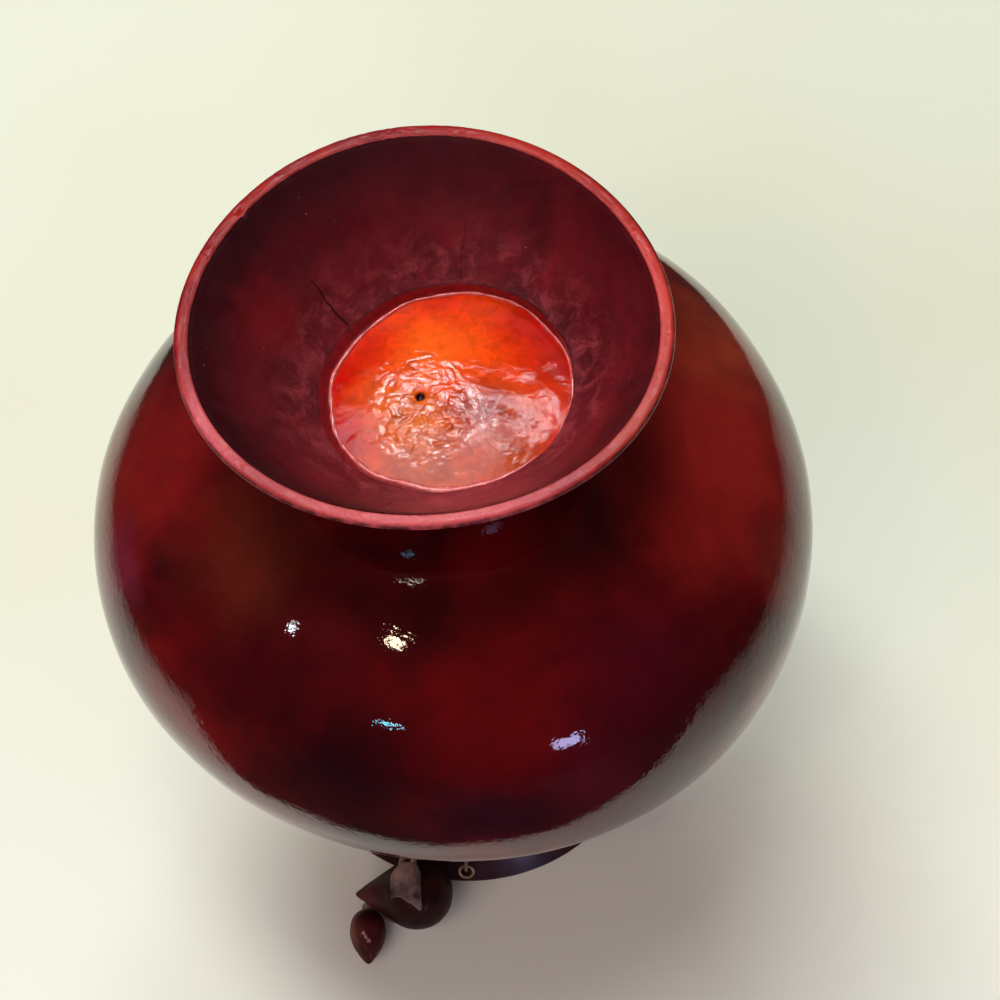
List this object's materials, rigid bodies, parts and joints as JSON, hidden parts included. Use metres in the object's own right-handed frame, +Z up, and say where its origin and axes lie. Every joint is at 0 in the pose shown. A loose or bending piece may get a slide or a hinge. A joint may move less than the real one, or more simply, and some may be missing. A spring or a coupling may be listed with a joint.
{
  "type": "gourd vase",
  "caption": "Round hollow gourd vase with a glued-on flared foot ring, a flared mouth collar and a neck cord that carries a hanging nut, a seed and a small ring; stored standing on its mouth.",
  "frame": {"origin": "centre of the mouth rim, on the surface that the vase stands on as pictured, foot up", "axes": "+Z up through the body from the mouth rim to the foot rim, so -Z is up when the vase is in use; -Y towards the side with the ornaments"},
  "size_m": [0.2396, 0.2396, 0.2675],
  "materials": {
    "varnished_gourd": "high-gloss varnish over mottled maroon dye, orange at the blossom end",
    "bare_gourd": "matte maroon dye with cracks, red cut lip",
    "collar_gourd": "satin dark maroon dye",
    "filler": "dyed glue and filler",
    "suede": "pale grey-pink suede",
    "nut": "polished dark brown shell",
    "seed": "glossy brown seed coat",
    "brass": "polished wire"
  },
  "bodies": {
    "vase": {"gourd_body": "varnished_gourd", "foot_ring": "bare_gourd", "foot_glue_seam": "filler", "mouth_collar": "collar_gourd", "collar_glue_seam": "filler", "neck_cord": "suede", "seed_tie": "suede", "nut_tie": "suede", "ring_tie": "suede"},
    "nut_strand": {"nut_thong": "suede", "pointed_nut": "nut", "seed_thong": "suede"},
    "seed": {"drop_seed": "seed"},
    "ring_strand": {"ring_thong": "suede"},
    "ring": {"brass_ring": "brass"}
  },
  "joints": [
    {"name": "nut_strand_swing", "type": "hinge", "parent": "vase", "child": "nut_strand", "pos_m": [-0.01813, -0.04071, 0.0458], "axis": [-0.9135, 0.4067, 0], "range_deg": [0, 70]},
    {"name": "seed_swing", "type": "hinge", "parent": "nut_strand", "child": "seed", "pos_m": [-0.04105, -0.07919, 0.00878], "axis": [0, 0, -1], "range_deg": [0, 60]},
    {"name": "ring_strand_swing", "type": "hinge", "parent": "vase", "child": "ring_strand", "pos_m": [-0.00266, -0.04482, 0.0458], "axis": [-0.9982, 0.0593, 0], "range_deg": [0, 100]},
    {"name": "ring_pivot", "type": "hinge", "parent": "ring_strand", "child": "ring", "pos_m": [-0.00377, -0.06339, 0.00801], "axis": [-0.9982, 0.0593, 0], "range_deg": [0, 90]}
  ]
}
